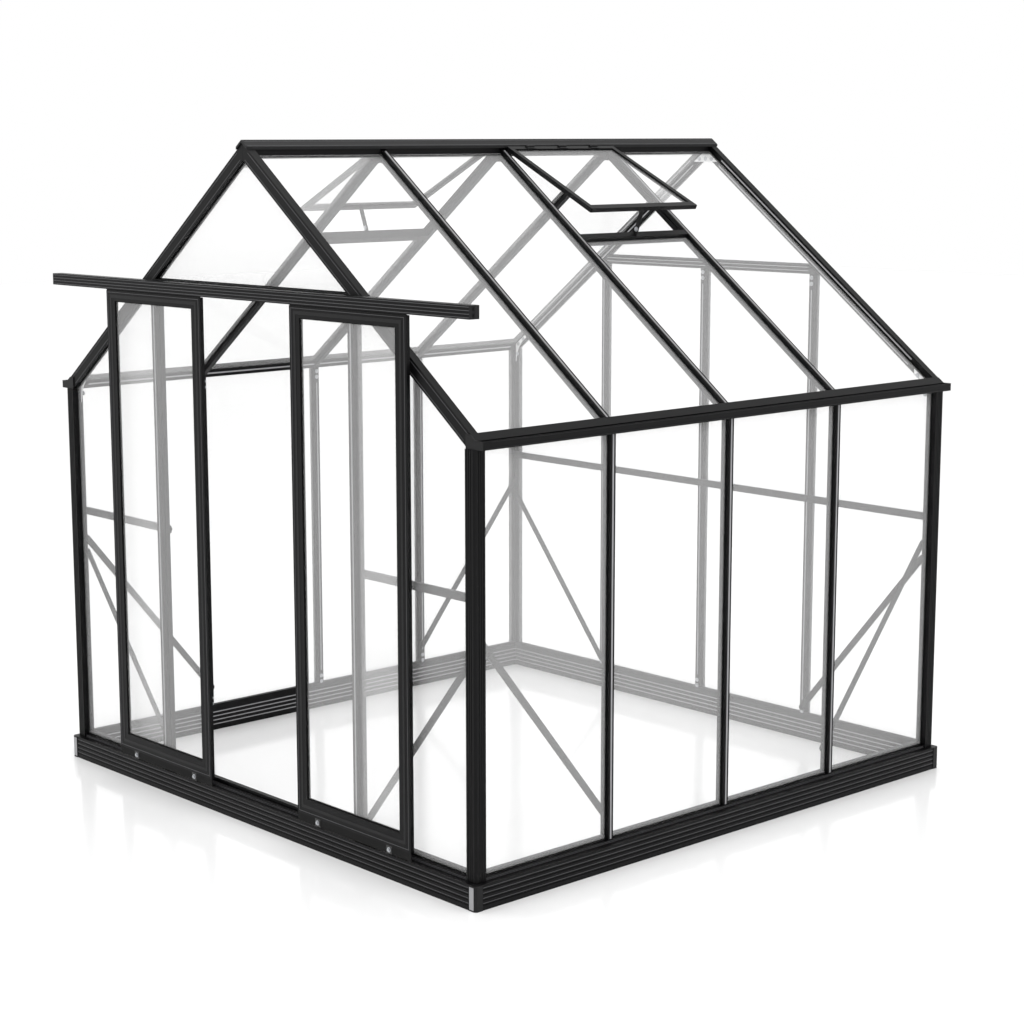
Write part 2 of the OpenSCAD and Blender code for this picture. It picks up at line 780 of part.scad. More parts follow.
module left_door_stiles() leaf_place("left", left_open) leaf_stiles();
module left_door_rails() leaf_place("left", left_open) leaf_rails();
module left_door_glass() leaf_place("left", left_open) leaf_glass();
module left_door_runners() leaf_place("left", left_open) leaf_runners();
module right_door_stiles() leaf_place("right", right_open) leaf_stiles();
module right_door_rails() leaf_place("right", right_open) leaf_rails();
module right_door_glass() leaf_place("right", right_open) leaf_glass();
module right_door_runners() leaf_place("right", right_open) leaf_runners();

plinth_rails();
plinth_corners();
sill_rails();
corner_posts();
left_wall_bars();
right_wall_bars();
rear_gable_bars();
door_jambs();
door_header();
rear_tie();
left_eave_rail();
right_eave_rail();
eave_corners();
front_rafters();
rear_rafters();
left_roof_bars();
right_roof_bars();
ridge_beam();
ridge_cap();
left_wall_glass();
right_wall_glass();
rear_gable_glass();
front_gable_glass();
left_roof_glass();
right_roof_glass();
vent_side_rails();
vent_cross_rails();
vent_glass();
vent_sills();
vent_stays();
eave_gussets();
apex_plates();
mid_rails();
gable_braces();
side_braces();
door_track();
track_ends();
left_door_stiles();
left_door_rails();
left_door_glass();
left_door_runners();
right_door_stiles();
right_door_rails();
right_door_glass();
right_door_runners();
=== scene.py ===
import json
import math
import bpy
import bmesh
from mathutils import Euler, Matrix, Quaternion, Vector


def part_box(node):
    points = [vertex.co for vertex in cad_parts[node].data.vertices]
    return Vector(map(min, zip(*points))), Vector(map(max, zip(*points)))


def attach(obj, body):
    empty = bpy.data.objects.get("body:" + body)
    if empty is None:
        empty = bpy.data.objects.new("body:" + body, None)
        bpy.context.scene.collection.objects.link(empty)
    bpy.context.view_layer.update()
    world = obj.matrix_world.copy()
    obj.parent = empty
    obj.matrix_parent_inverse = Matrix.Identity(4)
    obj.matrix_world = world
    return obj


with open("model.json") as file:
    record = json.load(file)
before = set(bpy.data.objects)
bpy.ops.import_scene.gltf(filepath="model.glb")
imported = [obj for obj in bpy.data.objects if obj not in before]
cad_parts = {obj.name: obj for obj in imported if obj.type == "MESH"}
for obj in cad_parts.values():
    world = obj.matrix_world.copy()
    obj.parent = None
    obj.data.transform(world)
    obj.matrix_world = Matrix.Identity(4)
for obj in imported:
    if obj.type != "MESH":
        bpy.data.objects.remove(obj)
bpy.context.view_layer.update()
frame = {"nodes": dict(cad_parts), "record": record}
nodes = frame["nodes"]
print("frame loaded:", len(nodes), "nodes")

# camera: where it stands, how it is turned (radians), its lens, its sideways shift and its reach
cameraView = {"place": (6.523, -5.955, 2.58), "yaw": 0.8539, "pitch": -0.1687, "roll": -0.0056,
              "lens": 75.63, "sensor": 36.0, "shiftX": 0.06, "near": 0.05, "far": 200}


def addCamera(c):
    data = bpy.data.cameras.new("camera")
    data.lens, data.sensor_width, data.shift_x = c["lens"], c["sensor"], c["shiftX"]
    data.clip_start, data.clip_end = c["near"], c["far"]
    cam = bpy.data.objects.new("camera", data)
    bpy.context.scene.collection.objects.link(cam)
    turn = Euler((math.pi / 2 + c["pitch"], 0, c["yaw"])).to_quaternion()
    cam.rotation_mode = "QUATERNION"
    cam.rotation_quaternion = turn @ Quaternion((0, 0, 1), c["roll"])
    cam.location = c["place"]
    bpy.context.scene.camera = cam


addCamera(cameraView)
print("camera placed")


# materials

# one node with its settings and links
def addNode(tree, kind, values=None, links=None, **settings):
    n = tree.nodes.new(kind)
    for key, value in settings.items():
        setattr(n, key, value)
    for key, value in (values or {}).items():
        n.inputs[key].default_value = value
    for key, source in (links or {}).items():
        tree.links.new(source, n.inputs[key])
    return n


def hexColour(text, alpha=1.0):
    parts = [int(text[i:i + 2], 16) / 255 for i in (1, 3, 5)]
    return tuple(c / 12.92 if c <= 0.04045 else ((c + 0.055) / 1.055) ** 2.4 for c in parts) + (alpha,)


def newMaterial(name):
    mat = bpy.data.materials.new(name)
    mat.use_nodes = True
    mat.node_tree.nodes.clear()
    return mat, mat.node_tree


# how many finer layers the noise carries
grainDetail = {"cloud": 3.0, "fine": 2.0, "wave": 1.0}


# noise over the object, grainSize in metres from one fleck to the next
def addGrain(tree, grainSize, kind):
    where = addNode(tree, "ShaderNodeTexCoord").outputs["Object"]
    return addNode(tree, "ShaderNodeTexNoise", {"Scale": 1 / grainSize, "Detail": grainDetail[kind]},
                   {"Vector": where}).outputs["Fac"]


# the shader of a solid finish: two tones, a roughness range and a bump
def makeFinish(name, look):
    mat, tree = newMaterial(name)
    cloud = addGrain(tree, look["cloud"], "cloud")
    fine = addGrain(tree, look["grain"], "fine")
    tone = addNode(tree, "ShaderNodeMix", None, {"Factor": cloud}, data_type="RGBA")
    # sockets 6 and 7 are the two colours to mix, output 2 is the mixed colour
    tone.inputs[6].default_value = hexColour(look["dark"])
    tone.inputs[7].default_value = hexColour(look["light"])
    low, high = look["rough"]
    rough = addNode(tree, "ShaderNodeMapRange", {"To Min": low, "To Max": high}, {"Value": fine})
    bump = addNode(tree, "ShaderNodeBump", {"Strength": look["bump"], "Distance": look["depth"]},
                   {"Height": fine})
    shader = addNode(tree, "ShaderNodeBsdfPrincipled",
                     {"Metallic": look.get("metal", 0.0), "Specular IOR Level": look.get("gloss", 0.5)},
                     {"Base Color": tone.outputs[2], "Roughness": rough.outputs["Result"],
                      "Normal": bump.outputs["Normal"]})
    addNode(tree, "ShaderNodeOutputMaterial", None, {"Surface": shader.outputs["BSDF"]})
    return mat


# polyester powder coat, sprayed and baked on extruded aluminium: near black, with a fine
# orange-peel skin that breaks up its low sheen. The peel is about 1.2 mm across.
powderCoat = {"dark": "#040405", "light": "#0b0b0c", "rough": (0.34, 0.48), "cloud": 0.15,
              "grain": 0.0012, "bump": 0.12, "depth": 0.0003, "gloss": 0.13}
# the same coat on caps, corner pieces and end plates, a shade greyer and more matt
trimCoat = {"dark": "#0e0e0f", "light": "#181819", "rough": (0.38, 0.52), "cloud": 0.1,
            "grain": 0.0015, "bump": 0.15, "depth": 0.0003, "gloss": 0.2}
# the same near-black coat on raised ribs and lips, coloured grey as a painted highlight along their edges
ribHighlightPaint = {"dark": "#3c3c3e", "light": "#4e4e50", "rough": (0.3, 0.42), "cloud": 0.08,
           "grain": 0.0015, "bump": 0.1, "depth": 0.0002, "gloss": 0.3}
# light grey satin strips whose grey is a painted highlight: the highlight lines along the bars' channels
# and inner faces, the plinth's inner face and the corner pieces
stripHighlightPaint = {"dark": "#8d8d8f", "light": "#a3a3a5", "rough": (0.34, 0.46), "cloud": 0.05,
              "grain": 0.002, "bump": 0.08, "depth": 0.0001, "metal": 0.25}
# pressed aluminium plate: pale satin with a faint mottle 3 mm apart
plateMetal = {"dark": "#e2e2e2", "light": "#f6f6f6", "rough": (0.4, 0.55), "cloud": 0.03,
              "grain": 0.003, "bump": 0.08, "depth": 0.0001, "metal": 0.1}
# zinc-plated steel screws and nuts: bright, slightly mottled
zincPlate = {"dark": "#9d9fa3", "light": "#c9cbce", "rough": (0.22, 0.4), "cloud": 0.004,
             "grain": 0.001, "bump": 0.1, "depth": 0.0001, "metal": 1.0}
# extruded rubber seal: matt black with a fine pore
sealRubber = {"dark": "#070707", "light": "#0e0e0e", "rough": (0.62, 0.8), "cloud": 0.02,
              "grain": 0.0008, "bump": 0.2, "depth": 0.0002, "gloss": 0.2}
# moulded nylon of the rollers and guides: dark and waxy
mouldedNylon = {"dark": "#1a1a1a", "light": "#262626", "rough": (0.4, 0.55), "cloud": 0.01,
                "grain": 0.001, "bump": 0.1, "depth": 0.0002}


# toughened float glass, seen as a thin white veil over what is behind it, with a sharp gloss;
# slow roller waves 90 mm apart barely bend the reflections
clearGlass = {"tint": "#ffffff", "veil": 0.13, "rough": (0.015, 0.04), "wave": 0.09, "bump": 0.05,
              "depth": 0.0005, "ior": 1.45}


def makeGlass(name, look):
    mat, tree = newMaterial(name)
    wave = addGrain(tree, look["wave"], "wave")
    low, high = look["rough"]
    rough = addNode(tree, "ShaderNodeMapRange", {"To Min": low, "To Max": high}, {"Value": wave})
    bump = addNode(tree, "ShaderNodeBump", {"Strength": look["bump"], "Distance": look["depth"]},
                   {"Height": wave})
    shader = addNode(tree, "ShaderNodeBsdfPrincipled",
                     {"Base Color": hexColour(look["tint"]), "Alpha": look["veil"], "IOR": look["ior"]},
                     {"Roughness": rough.outputs["Result"], "Normal": bump.outputs["Normal"]})
    addNode(tree, "ShaderNodeOutputMaterial", None, {"Surface": shader.outputs["BSDF"]})
    return mat


coats = {"frame": makeFinish("powderCoatFrame", powderCoat),
         "trim": makeFinish("powderCoatTrim", trimCoat),
         "rib": makeFinish("powderCoatRib", ribHighlightPaint),
         "strip": makeFinish("anodisedStrip", stripHighlightPaint),
         "plate": makeFinish("pressedPlate", plateMetal),
         "zinc": makeFinish("zincPlatedSteel", zincPlate),
         "rubber": makeFinish("sealRubber", sealRubber),
         "nylon": makeFinish("mouldedNylon", mouldedNylon),
         "glass": makeGlass("toughenedGlass", clearGlass)}
# which coat a node's slot gets
slotLooks = {"dark_frame": "frame", "dark_trim": "trim", "glass": "glass", "pale_plate": "plate",
             "nylon": "nylon"}

for part in frame["record"]["subparts"]:
    mesh = nodes[part["node"]].data
    mesh.materials.clear()
    mesh.materials.append(coats[slotLooks[part["material_slot"]]])
print("nodes coated")


# places that the pieces share, all from the frame

def box(name):
    low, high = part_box(name)
    return Vector(low), Vector(high)


leaning = 0.3  # a face counts as sloping where its normal leans this much


# pitch and ridge height of the roof line, from the outer face of a rafter
def roofLine():
    mesh = nodes["front_rafters"].data
    slopes = [f for f in mesh.polygons if f.normal.x > leaning and f.normal.z > leaning]
    face = max(slopes, key=lambda f: f.area)
    angle = math.atan2(face.normal.x, face.normal.z)
    point = mesh.vertices[face.vertices[0]].co
    return angle, point.z + point.x * math.tan(angle)


roofPitch, ridgeLine = roofLine()
mirrorX = Matrix.Scale(-1, 4, (1, 0, 0))
mirrorY = Matrix.Scale(-1, 4, (0, 1, 0))
identity = Matrix.Identity(4)
# the right-hand slope: X down the slope from the ridge line, Z off it
onSlope = Matrix.Translation((0, 0, ridgeLine)) @ Matrix.Rotation(roofPitch, 4, "Y")
bothSlopes = [onSlope, mirrorX @ onSlope]
fourSlopes = bothSlopes + [mirrorY @ place for place in bothSlopes]
allCorners = [identity, mirrorX, mirrorY, mirrorX @ mirrorY]
fourSides = [Matrix.Rotation(side * math.pi / 2, 4, "Z") for side in range(4)]
barHalf = 0.012  # half the width of an upright bar
barDepth = 0.048  # a roof bar's inner face lies this far under the roof line
barLine = box("right_wall_bars")[1].y - barHalf
barRow = (-barLine, 0, barLine)
alongX = [Matrix.Translation((x, 0, 0)) for x in barRow]
alongY = [Matrix.Translation((0, y, 0)) for y in barRow]
print("roof pitch", round(math.degrees(roofPitch), 2), "ridge", round(ridgeLine, 4),
      "bars", round(barLine, 4))


# height of a line that runs at this depth under the roof line
def roofZ(x, under):
    return ridgeLine - abs(x) * math.tan(roofPitch) - under / math.cos(roofPitch)


# making pieces

def selectOnly(pieces):
    bpy.ops.object.select_all(action="DESELECT")
    for piece in pieces:
        piece.select_set(True)
    bpy.context.view_layer.objects.active = pieces[0]


# a twin with its own mesh, moved to a place
def addCopy(piece, place):
    twin = piece.copy()
    twin.data = piece.data.copy()
    bpy.context.scene.collection.objects.link(twin)
    twin.data.transform(place)
    if place.determinant() < 0:
        twin.data.flip_normals()
    return twin


# twins at every place; the first model goes
def addCopies(piece, places):
    twins = [addCopy(piece, place) for place in places]
    bpy.data.objects.remove(piece)
    return twins


# joins a family into one piece, coats it and seats it on its body
def finishPiece(name, pieces, coat, body):
    selectOnly(pieces)
    if len(pieces) > 1:
        bpy.ops.object.join()
    piece = bpy.context.active_object
    piece.name = name
    piece.data.materials.clear()
    piece.data.materials.append(coats[coat])
    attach(piece, body)
    return piece


# adds a modifier and applies it
def addModifier(piece, kind, **settings):
    selectOnly([piece])
    mod = piece.modifiers.new(kind.lower(), kind)
    for key, value in settings.items():
        setattr(mod, key, value)
    bpy.ops.object.modifier_apply(modifier=mod.name)


# a straight strip between two corners, its long edges rounded
def addStrip(low, high, rounding):
    size = [b - a for a, b in zip(low, high)]
    bpy.ops.object.select_all(action="DESELECT")
    middle = [(a + b) / 2 for a, b in zip(low, high)]
    bpy.ops.mesh.primitive_cube_add(size=1, location=middle, scale=size)
    strip = bpy.context.active_object
    bpy.ops.object.transform_apply(location=True, rotation=True, scale=True)
    way = size.index(max(size))
    bpy.ops.object.mode_set(mode="EDIT")
    bpy.ops.mesh.select_mode(type="EDGE")
    bpy.ops.mesh.select_all(action="DESELECT")
    mesh = bmesh.from_edit_mesh(strip.data)
    for edge in mesh.edges:
        edge.select = abs(edge.verts[0].co[way] - edge.verts[1].co[way]) > size[way] / 2
    bmesh.update_edit_mesh(strip.data)
    bpy.ops.mesh.bevel(offset=rounding, segments=2)
    bpy.ops.object.mode_set(mode="OBJECT")
    return strip


ringSoft = 0.4  # edge rounding of a ring, as a share of its rise


# a flat rectangular ring in the XZ plane at y, standing out towards -Y
def addRing(low, high, y, width, rise):
    bpy.ops.object.select_all(action="DESELECT")
    bpy.ops.mesh.primitive_plane_add(size=1, rotation=(math.pi / 2, 0, 0),
                                     location=((low[0] + high[0]) / 2, y, (low[1] + high[1]) / 2))
    ring = bpy.context.active_object
    ring.scale = (high[0] - low[0], high[1] - low[1], 1)
    bpy.ops.object.transform_apply(location=True, rotation=True, scale=True)
    bpy.ops.object.mode_set(mode="EDIT")
    bpy.ops.mesh.select_mode(type="FACE")
    bpy.ops.mesh.select_all(action="SELECT")
    bpy.ops.mesh.inset(thickness=width)
    bpy.ops.mesh.delete(type="FACE")
    bpy.ops.object.mode_set(mode="OBJECT")
    addModifier(ring, "SOLIDIFY", thickness=rise, offset=1)
    addModifier(ring, "BEVEL", width=rise * ringSoft, segments=2, limit_method="ANGLE")
    return ring


weldGap = 0.00001  # points closer than this are one point


# a copy of a node, welded, whole and open for editing with all its faces selected
def openNode(name):
    piece = nodes[name].copy()
    piece.data = nodes[name].data.copy()
    piece.parent = None
    piece.matrix_world = identity
    bpy.context.scene.collection.objects.link(piece)
    selectOnly([piece])
    bpy.ops.object.mode_set(mode="EDIT")
    bpy.ops.mesh.select_mode(type="FACE")
    bpy.ops.mesh.select_all(action="SELECT")
    bpy.ops.mesh.remove_doubles(threshold=weldGap)
    return piece


# selects the faces that pass a test, on the piece that is open for editing
def selectFaces(piece, test):
    mesh = bmesh.from_edit_mesh(piece.data)
    mesh.normal_update()
    for face in mesh.faces:
        face.select_set(test(face))
    bmesh.update_edit_mesh(piece.data)


# cover strips: light strips in the channels along the outer faces of the bars, their light grey a painted
# highlight line
coverStrip = {"width": 0.0065, "proud": 0.001, "sunk": 0.0016, "endGap": 0.004, "eaveGap": 0.030,
              "rounding": 0.0007}


def wallCoverStrips(c):
    low, high = box("right_wall_bars")
    strip = addStrip((high.x - c["sunk"], -c["width"] / 2, low.z + c["endGap"]),
                     (high.x + c["proud"], c["width"] / 2, high.z - c["endGap"]), c["rounding"])
    places = alongY + [mirrorX @ step for step in alongY]
    finishPiece("wallCoverStrips", addCopies(strip, places), "strip", "house")


def gableCoverStrips(c):
    low, high = box("rear_gable_bars")
    strip = addStrip((-c["width"] / 2, high.y - c["sunk"], low.z + c["endGap"]),
                     (c["width"] / 2, high.y + c["proud"], high.z - c["endGap"]), c["rounding"])
    front = [mirrorY @ alongX[0], mirrorY @ alongX[-1]]
    finishPiece("gableCoverStrips", addCopies(strip, alongX + front), "strip", "house")


# the roof bars' outer faces lie this far under the roof line
barSeat = 0.008


def roofCoverStrips(c):
    start = (box("ridge_cap")[1].x + c["endGap"]) / math.cos(roofPitch)
    end = (box("corner_posts")[1].x - c["eaveGap"]) / math.cos(roofPitch) - c["endGap"]
    strip = addStrip((start, -c["width"] / 2, -barSeat - c["sunk"]),
                     (end, c["width"] / 2, c["proud"] - barSeat), c["rounding"])
    places = [slope @ step for slope in bothSlopes for step in alongY]
    finishPiece("roofCoverStrips", addCopies(strip, places), "strip", "house")


wallCoverStrips(coverStrip)
gableCoverStrips(coverStrip)
roofCoverStrips(coverStrip)
print("cover strips laid")

# rubber seals: a loop on both faces of each pane, where the pane leaves its groove
paneSeal = {"grip": 0.0078, "width": 0.0035, "rise": 0.0018, "minArea": 0.05, "flat": 0.01}


def addSeals(c, node, body):
    piece = openNode(node)
    bpy.ops.mesh.dissolve_limited(angle_limit=c["flat"])
    selectFaces(piece, lambda face: face.calc_area() < c["minArea"])
    bpy.ops.mesh.delete(type="FACE")
    bpy.ops.mesh.select_all(action="SELECT")
    bpy.ops.mesh.inset(thickness=c["grip"], use_individual=True)
    bpy.ops.mesh.select_all(action="INVERT")
    bpy.ops.mesh.delete(type="FACE")
    bpy.ops.mesh.select_all(action="SELECT")
    bpy.ops.mesh.inset(thickness=c["width"], use_individual=True)
    bpy.ops.mesh.delete(type="FACE")
    bpy.ops.object.mode_set(mode="OBJECT")
    addModifier(piece, "SOLIDIFY", thickness=c["rise"], offset=1)
    words = node.split("_")
    name = words[0] + "".join(w.capitalize() for w in words[1:-1]) + "Seals"
    finishPiece(name, [piece], "rubber", body)


bodyOf = {n: b for b, names in frame["record"]["behaviour"]["bodies"].items() for n in names}
for node in sorted(n for n in nodes if n.endswith("_glass")):
    addSeals(paneSeal, node, bodyOf[node])
print("seals fitted")

# ribs: thin raised lines on the frame's faces, most of them grey as painted highlight lines; each piece
# adds its own places
ribForm = {"height": 0.0022, "proud": 0.0009, "rounding": 0.0006, "sunk": 0.001}
plinthRib = {"rows": 4, "lift": 0.006, "cornerGap": 0.037, "railDepth": 0.065, "innerHeight": 0.0044}
trackRib = {"shares": (0.12, 0.375, 0.625, 0.88), "endGap": 0.001}
rafterRib = {"depths": (0.009, 0.040), "ridgeGap": 0.006, "eaveGap": 0.045}
ridgeRib = {"down": (0.004, 0.030), "endGap": 0.001}
gutterRib = {"foot": 0.003, "head": 0.0045, "endGap": 0.036}
sillRib = {"lip": 0.012, "down": (0.0055, 0.0105), "postGap": 0.050}


# four grey lines round the outside of the plinth, and four broader light ones round its inside, all painted
# highlight
def plinthRibs(c, own):
    high = box("plinth_rails")[1]
    reach = box("plinth_corners")[1].x - own["cornerGap"]
    inner = high.x - own["railDepth"]
    outside, inside = [], []
    for row in range(1, own["rows"] + 1):
        z = row * high.z / (own["rows"] + 1) + own["lift"]
        rib = addStrip((high.x - c["sunk"], -reach, z), (high.x + c["proud"], reach, z + c["height"]),
                       c["rounding"])
        outside += addCopies(rib, fourSides)
        rib = addStrip((inner - c["proud"], c["sunk"] - inner, z),
                       (inner + c["sunk"], inner - c["sunk"], z + own["innerHeight"]), c["rounding"])
        inside += addCopies(rib, fourSides)
    finishPiece("plinthRibs", outside, "rib", "house")
    finishPiece("plinthInnerRibs", inside, "strip", "house")


def trackRibs(c, own):
    low, high = box("door_track")
    made = []
    for share in own["shares"]:
        z = low.z + share * (high.z - low.z)
        made.append(addStrip((low.x + own["endGap"], low.y - c["proud"], z - c["height"] / 2),
                             (high.x - own["endGap"], low.y + c["sunk"], z + c["height"] / 2),
                             c["rounding"]))
    finishPiece("trackRibs", made, "rib", "house")


def rafterRibs(c, own):
    face = box("front_rafters")[0].y
    start = (box("ridge_cap")[1].x + own["ridgeGap"]) / math.cos(roofPitch)
    end = box("corner_posts")[1].x / math.cos(roofPitch) - own["eaveGap"]
    made = []
    for under in own["depths"]:
        rib = addStrip((start, face - c["proud"], -under - c["height"]), (end, face + c["sunk"], -under),
                       c["rounding"])
        made += addCopies(rib, fourSlopes)
    finishPiece("rafterRibs", made, "rib", "house")


def ridgeRibs(c, own):
    low, high = box("ridge_cap")
    top = (high.z - ridgeLine) * math.cos(roofPitch)
    made = []
    for down in own["down"]:
        rib = addStrip((down, low.y + own["endGap"], top - c["sunk"]),
                       (down + c["height"], high.y - own["endGap"], top + c["proud"]), c["rounding"])
        made += addCopies(rib, bothSlopes)
    finishPiece("ridgeRibs", made, "rib", "house")


def gutterRibs(c, own):
    low, high = box("right_eave_rail")
    gutterTop = ridgeLine - box("corner_posts")[1].x * math.tan(roofPitch)
    made = []
    for z in (low.z + own["foot"], gutterTop - own["head"]):
        rib = addStrip((high.x - c["sunk"], low.y + own["endGap"], z),
                       (high.x + c["proud"], high.y - own["endGap"], z + c["height"]), c["rounding"])
        made += addCopies(rib, [identity, mirrorX])
    finishPiece("gutterRibs", made, "trim", "house")


# two grey lines along the lip of each sill, painted highlight
def sillRibs(c, own):
    reach = box("corner_posts")[1].x - own["postGap"]
    outer = box("right_wall_bars")[1].x
    lipTop = box("plinth_rails")[1].z + own["lip"]
    made = []
    for down in own["down"]:
        z = lipTop - down
        rib = addStrip((outer - c["sunk"], -reach, z), (outer + c["proud"], reach, z + c["height"]),
                       c["rounding"])
        made += addCopies(rib, fourSides)
    finishPiece("sillRibs", made, "rib", "house")


# light grey lines along the inner faces of bars, tie and header, rafters and eave rails: painted highlight
innerLine = {"width": 0.006, "proud": 0.001, "sunk": 0.001, "rounding": 0.0005, "endGap": 0.07,
             "tieEdge": 0.009, "tieGap": 0.02, "rafterDepths": (0.013, 0.040), "ridgeGap": 0.10,
             "footGap": 0.16, "postWidth": 0.048, "eaveLift": 0.012, "eaveGap": 0.03}


def innerLines(c):
    made = []
    half = c["width"] / 2
    low, high = box("right_wall_bars")
    bar = addStrip((low.x - c["proud"], -half, low.z + c["endGap"]),
                   (low.x + c["sunk"], half, high.z - c["endGap"]), c["rounding"])
    made += addCopies(bar, alongY + [mirrorX @ step for step in alongY])
    low, high = box("rear_gable_bars")
    bar = addStrip((-half, low.y - c["proud"], low.z + c["endGap"]),
                   (half, low.y + c["sunk"], high.z - c["endGap"]), c["rounding"])
    made += addCopies(bar, alongX)
    low, high = box("rear_tie")
    reach = barLine - c["tieGap"]
    for z in (low.z + c["tieEdge"], high.z - c["tieEdge"] - half):
        tie = addStrip((-reach, low.y - c["proud"], z), (reach, low.y + c["sunk"], z + half),
                       c["rounding"])
        made += addCopies(tie, [identity, mirrorY])
    face = box("rear_rafters")[0].y
    start = c["ridgeGap"] / math.cos(roofPitch)
    end = box("corner_posts")[1].x / math.cos(roofPitch) - c["footGap"]
    for under in c["rafterDepths"]:
        line = addStrip((start, face - c["proud"], -under - half),
                        (end, face + c["sunk"], half - under), c["rounding"])
        made += addCopies(line, fourSlopes)
    high = box("corner_posts")[1]
    inner = high.x - c["postWidth"]
    z = high.z + c["eaveLift"]
    eave = addStrip((inner - c["proud"], c["eaveGap"] - inner, z),
                    (inner + c["sunk"], inner - c["eaveGap"], z + c["width"]), c["rounding"])
    made += addCopies(eave, [identity, mirrorX])
    finishPiece("innerLines", made, "strip", "house")


plinthRibs(ribForm, plinthRib)
sillRibs(ribForm, sillRib)
innerLines(innerLine)
trackRibs(ribForm, trackRib)
rafterRibs(ribForm, rafterRib)
ridgeRibs(ribForm, ridgeRib)
gutterRibs(ribForm, gutterRib)
print("ribs laid")


# ridge ends: closers over the ends of the ridge cap, grown from its own section
ridgeEnd = {"thickness": 0.006, "rounding": 0.0012, "endFace": 0.9}


def ridgeEnds(c):
    piece = openNode("ridge_cap")
    selectFaces(piece, lambda face: abs(face.normal.y) < c["endFace"])
    bpy.ops.mesh.delete(type="FACE")
    bpy.ops.object.mode_set(mode="OBJECT")
    addModifier(piece, "SOLIDIFY", thickness=c["thickness"], offset=1)
    addModifier(piece, "BEVEL", width=c["rounding"], segments=2, limit_method="ANGLE")
    finishPiece("ridgeEnds", [piece], "trim", "house")


# folded saddles that close the gap between opposite roof bars under the ridge beam
ridgeSaddle = {"width": 0.044, "wall": 0.003, "lap": 0.004, "halfDeep": 0.022, "rounding": 0.0008}


def ridgeSaddles(c):
    head = box("ridge_beam")[0].z + c["lap"]
    foot = roofZ(c["halfDeep"], barDepth)
    half = c["width"] / 2
    sides = (c["halfDeep"] - c["wall"], -c["halfDeep"])
    corners = [((x, -half, foot), (x + c["wall"], half, head)) for x in sides]
    corners.append(((-c["halfDeep"], -half, foot - c["wall"]), (c["halfDeep"], half, foot + c["wall"] / 2)))
    made = []
    for low, high in corners:
        made += addCopies(addStrip(low, high, c["rounding"]), alongY)
    finishPiece("ridgeSaddles", made, "trim", "house")


ridgeEnds(ridgeEnd)
ridgeSaddles(ridgeSaddle)

# corner tabs: light strips on the gable side of the plinth's corner pieces, a painted highlight on their
# faces
cornerTab = {"width": 0.022, "proud": 0.001, "margin": 0.010, "endGap": 0.006, "rounding": 0.0008}


def cornerTabs(c):
    low, high = box("plinth_corners")
    end = high.x - c["margin"]
    tab = addStrip((end - c["width"], low.y - c["proud"], c["endGap"]),
                   (end, low.y + c["proud"], high.z - c["endGap"]), c["rounding"])
    finishPiece("cornerTabs", addCopies(tab, allCorners), "strip", "house")


cornerTabs(cornerTab)
print("ends and tabs fitted")

# frame screws: a hexagon head with a dished top on a washer, modelled once along +Z
screwForm = {"head": 0.0066, "headHeight": 0.0044, "washer": 0.0095, "washerHeight": 0.0014,
             "washerSides": 24, "rounding": 0.0007, "dish": 0.0006, "rim": 0.25, "sharp": 0.7}


def makeScrew(c):
    bpy.ops.object.select_all(action="DESELECT")
    bpy.ops.mesh.primitive_cylinder_add(vertices=c["washerSides"], radius=c["washer"],
                                        depth=c["washerHeight"], location=(0, 0, c["washerHeight"] / 2))
    washer = bpy.context.active_object
    bpy.ops.object.transform_apply(location=True, rotation=True, scale=True)
    addModifier(washer, "BEVEL", width=c["washerHeight"] / 4, segments=1, limit_method="ANGLE")
    bpy.ops.object.select_all(action="DESELECT")
    bpy.ops.mesh.primitive_cylinder_add(vertices=6, radius=c["head"], depth=c["headHeight"],
                                        location=(0, 0, c["washerHeight"] + c["headHeight"] / 2))
    head = bpy.context.active_object
    bpy.ops.object.transform_apply(location=True, rotation=True, scale=True)
    bpy.ops.object.mode_set(mode="EDIT")
    bpy.ops.mesh.select_mode(type="FACE")
    bpy.ops.mesh.select_all(action="DESELECT")
    selectFaces(head, lambda face: face.normal.z > c["sharp"])
    bpy.ops.mesh.inset(thickness=c["head"] * c["rim"])
    bpy.ops.transform.translate(value=(0, 0, -c["dish"]))
    bpy.ops.object.mode_set(mode="OBJECT")
    addModifier(head, "BEVEL", width=c["rounding"], segments=2, limit_method="ANGLE",
                angle_limit=c["sharp"])
    selectOnly([head, washer])
    bpy.ops.object.join()
    return bpy.context.active_object


# where a screw stands and which way it points
def seat(point, way):
    return Matrix.Translation(point) @ Vector(way).to_track_quat("Z", "Y").to_matrix().to_4x4()


def addScrews(name, seats, body, coat="zinc"):
    finishPiece(name, addCopies(makeScrew(screwForm), [seat(p, w) for p, w in seats]), coat, body)


# the same seats in all four corners of the house
def fourWays(seats):
    return [((p[0] * a, p[1] * b, p[2]), (w[0] * a, w[1] * b, w[2]))
            for p, w in seats for a in (1, -1) for b in (1, -1)]


# where the screws stand: how far in from a node's edge, and how thick the metal under them is
braceScrew = {"thickness": 0.006, "edge": 0.013}
railScrew = {"thickness": 0.012, "edge": 0.010}
plateScrew = {"thickness": 0.003, "under": 0.041, "gussetIn": (0.018, 0.052), "postIn": 0.012,
              "postUp": 0.040, "apexOut": 0.036, "apexUp": 0.014}


def braceScrews(c):
    low, high = box("gable_braces")
    y = high.y - c["thickness"]
    gable = [((high.x - c["edge"], y, high.z - c["edge"]), (0, -1, 0)),
             ((barLine, y, low.z + c["edge"]), (0, -1, 0))]
    low, high = box("side_braces")
    x = high.x - c["thickness"]
    side = [((x, high.y - c["edge"], high.z - c["edge"]), (-1, 0, 0)),
            ((x, barLine, low.z + c["edge"]), (-1, 0, 0))]
    addScrews("braceScrews", fourWays(gable + side), "house", "trim")


